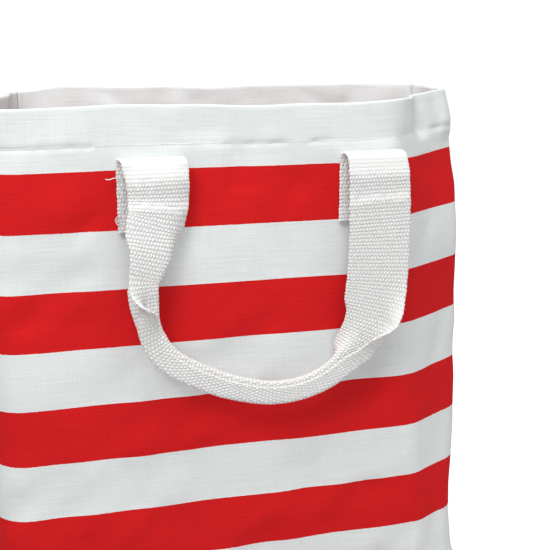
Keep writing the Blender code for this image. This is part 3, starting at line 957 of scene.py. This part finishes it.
LEFT_CUT = int(np.searchsorted(strap_s, END_LENGTH))
RIGHT_CUT = int(np.searchsorted(strap_s, strap_s[-1] - END_LENGTH))
LAST_ROW = len(strap_s) - 1
for which in ("front", "back"):
    # Seen from outside, the back handle's first end is on the right of the node that carries the name left
    ends = ("left", "right") if which == "front" else ("right", "left")
    add_strap_part(which, "handle_fold_" + ends[0], 0, LEFT_CUT, [ends[0] + "_strap_end"], False)
    add_strap_part(which, "handle_webbing", LEFT_CUT, RIGHT_CUT, ["strap"], True)
    add_strap_part(which, "handle_fold_" + ends[1], RIGHT_CUT, LAST_ROW, [ends[1] + "_strap_end"], False)


# ---- Stitches on the webbing ----

def line_spots(start, stop, pitch):
    """Centres and directions of the stitches along a straight line."""
    start, stop = np.array(start, float), np.array(stop, float)
    length = np.linalg.norm(stop - start)
    count = int(length / pitch)
    share = (np.arange(count) + 0.5) / count
    spots = start + (stop - start) * share[:, None]
    return spots, np.broadcast_to(unit(stop - start), spots.shape)


def box_spots(centre_x, y, centre_z, half):
    """Stitch places of a sewn square with a cross in it."""
    corners = [(centre_x + sx * half, y, centre_z + sz * half)
               for sx, sz in ((-1, -1), (1, -1), (1, 1), (-1, 1))]
    runs = [(corners[k], corners[(k + 1) % 4]) for k in range(4)]
    runs += [(corners[0], corners[2]), (corners[1], corners[3])]
    spots, lines = zip(*(line_spots(a, b, 3.0) for a, b in runs))
    return np.concatenate(spots), np.concatenate(lines)


for which in ("front", "back"):
    facing = -1.0 if which == "front" else 1.0
    for side, sign in (("left", -1), ("right", 1)):
        low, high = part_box("%s_%s_strap_end" % (which, side))
        centre_x = HINGE[which][0] - facing * (LEFT_END_X if sign * facing > 0 else RIGHT_END_X)
        centre_z = (low[2] + high[2]) / 2 / MM
        outer_y = facing * (89.4 + WEB_HALF + 0.12)
        inner_y = facing * (88 - 2 * CLOTH_HALF - 0.15)
        spots_out, lines_out = box_spots(centre_x, outer_y, centre_z, 15.5)
        spots_in, lines_in = box_spots(centre_x, inner_y, centre_z, 15.5)
        stitch_out = np.tile((0.0, facing, 0.0), (len(spots_out), 1))
        name = "%s_%s_box_stitches" % (which, side)
        piece = capsules(name, np.concatenate([spots_out, spots_in]), np.concatenate([lines_out, lines_in]),
                         np.concatenate([stitch_out, -stitch_out]), 2.6, 0.3, thread, droop=0.15)
        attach(piece, "bag")
        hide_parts("%s_%s_box_stitch" % (which, side))

# Loose thread ends at the cut edge of the left strap end
loose = []
for path in (((-93.6, -91.2, 310.6), (-96.2, -91.7, 311.0), (-98.6, -91.8, 310.3), (-101.0, -91.4, 310.5)),
             ((-93.2, -91.2, 289.4), (-95.2, -92.4, 288.4), (-96.2, -92.0, 286.8), (-94.0, -91.6, 285.4)),
             ((-93.6, -91.2, 288.0), (-95.8, -91.8, 286.0), (-94.8, -92.3, 284.0)),
             ((-90.5, -91.2, 279.8), (-89.8, -92.0, 277.6), (-88.0, -92.2, 276.4), (-86.6, -91.8, 277.4))):
    loose.append(thread_tube(catmull(path, 6), 0.3))
vertices, faces = [], []
for part_vertices, part_faces in loose:
    faces += [tuple(i + len(vertices) for i in face) for face in part_faces]
    vertices += part_vertices
piece = new_piece("front_left_loose_threads", np.array(vertices) * MM, faces, None, thread)
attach(piece, "bag")

strap_normals = grid_normals(strap_mid)
grip_low = np.searchsorted(strap_s, GRIP_START)
grip_high = np.searchsorted(strap_s, strap_s[-1] - GRIP_START)
seam_column = int(np.argmin(np.abs(strap_w + WEB_HALF_WIDTH - 2.4)))
for which in ("front", "back"):
    rows = np.arange(grip_low, grip_high, int(round(3.0 / ROW_STEP)))
    centres = strap_mid[rows, seam_column] - strap_normals[rows, seam_column] * (WEB_HALF + 0.1)
    lines = strap_mid[rows + 1, seam_column] - strap_mid[rows, seam_column]
    turned = np.array((1, 1, 1)) if which == "front" else np.array((-1, -1, 1))
    piece = capsules(which + "_grip_stitches", to_world(centres, which), lines * turned,
                     -strap_normals[rows, seam_column] * turned, 2.4, 0.28, thread, droop=0.12)
    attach(piece, which + "_handle")
    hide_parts(which + "_grip_stitching")


# ---- Studio ----

def add_floor():
    """A wide white floor that looks brighter to the camera than the light it gives back."""
    mesh = bpy.data.meshes.new("floor")
    size = 12.0
    corners = [(-size, -size, 0), (size, -size, 0), (size, size, 0), (-size, size, 0)]
    mesh.from_pydata(corners, [], [(0, 1, 2, 3)])
    floor = bpy.data.objects.new("floor", mesh)
    bpy.context.collection.objects.link(floor)
    material = bpy.data.materials.new("floor_white")
    material.use_nodes = True
    shader = material.node_tree.nodes["Principled BSDF"]
    shader.inputs["Base Color"].default_value = (0.6, 0.6, 0.6, 1)
    shader.inputs["Roughness"].default_value = 1.0
    shader.inputs["Specular IOR Level"].default_value = 0.0
    shader.inputs["Emission Color"].default_value = (1, 1, 1, 1)
    path = material.node_tree.nodes.new("ShaderNodeLightPath")
    lift = material.node_tree.nodes.new("ShaderNodeMath")
    lift.operation = "MULTIPLY"
    lift.inputs[1].default_value = 0.86
    material.node_tree.links.new(path.outputs["Is Camera Ray"], lift.inputs[0])
    material.node_tree.links.new(lift.outputs[0], shader.inputs["Emission Strength"])
    mesh.materials.append(material)


def add_area(name, location, target, size, power):
    """A square area light at a place in metres, aimed at the target."""
    light = bpy.data.lights.new(name, "AREA")
    light.shape = "SQUARE"
    light.size = size
    light.energy = power
    lamp = bpy.data.objects.new(name, light)
    lamp.location = location
    lamp.rotation_euler = (Vector(target) - Vector(location)).to_track_quat("-Z", "Y").to_euler()
    bpy.context.collection.objects.link(lamp)


def add_world(strength):
    """Soft light from all round, with a white background where the camera sees past the floor."""
    world = bpy.data.worlds.new("studio")
    bpy.context.scene.world = world
    world.use_nodes = True
    tree = world.node_tree
    background = tree.nodes["Background"]
    background.inputs["Color"].default_value = (1, 1, 1, 1)
    path = tree.nodes.new("ShaderNodeLightPath")
    level = tree.nodes.new("ShaderNodeMapRange")
    level.inputs["To Min"].default_value = strength
    level.inputs["To Max"].default_value = 1.05
    tree.links.new(path.outputs["Is Camera Ray"], level.inputs["Value"])
    tree.links.new(level.outputs["Result"], background.inputs["Strength"])


add_floor()
add_world(0.32)
add_area("key", (-0.55, -0.65, 1.0), (0, 0, 0.2), 0.36, 5.5)
add_area("top", (0.0, -0.32, 1.2), (0, 0, 0.25), 0.6, 6.0)
add_area("fill", (-0.1, -1.8, 0.75), (0, 0, 0.25), 0.8, 3.0)
add_area("side", (0.95, -0.5, 0.14), (0.12, -0.02, 0.12), 0.6, 1.7)
add_area("back", (0.4, 1.7, 0.9), (0, 0, 0.2), 1.0, 9)

camera_data = bpy.data.cameras.new("camera")
camera_data.lens = 67.4
camera_data.sensor_width = 36
camera = bpy.data.objects.new("camera", camera_data)
camera.location = (-0.1745, -0.6756, 0.3886)
camera.rotation_euler = (math.radians(77.04), 0, math.radians(-16.58))
bpy.context.collection.objects.link(camera)
bpy.context.scene.camera = camera
bpy.context.scene.view_settings.view_transform = "Standard"
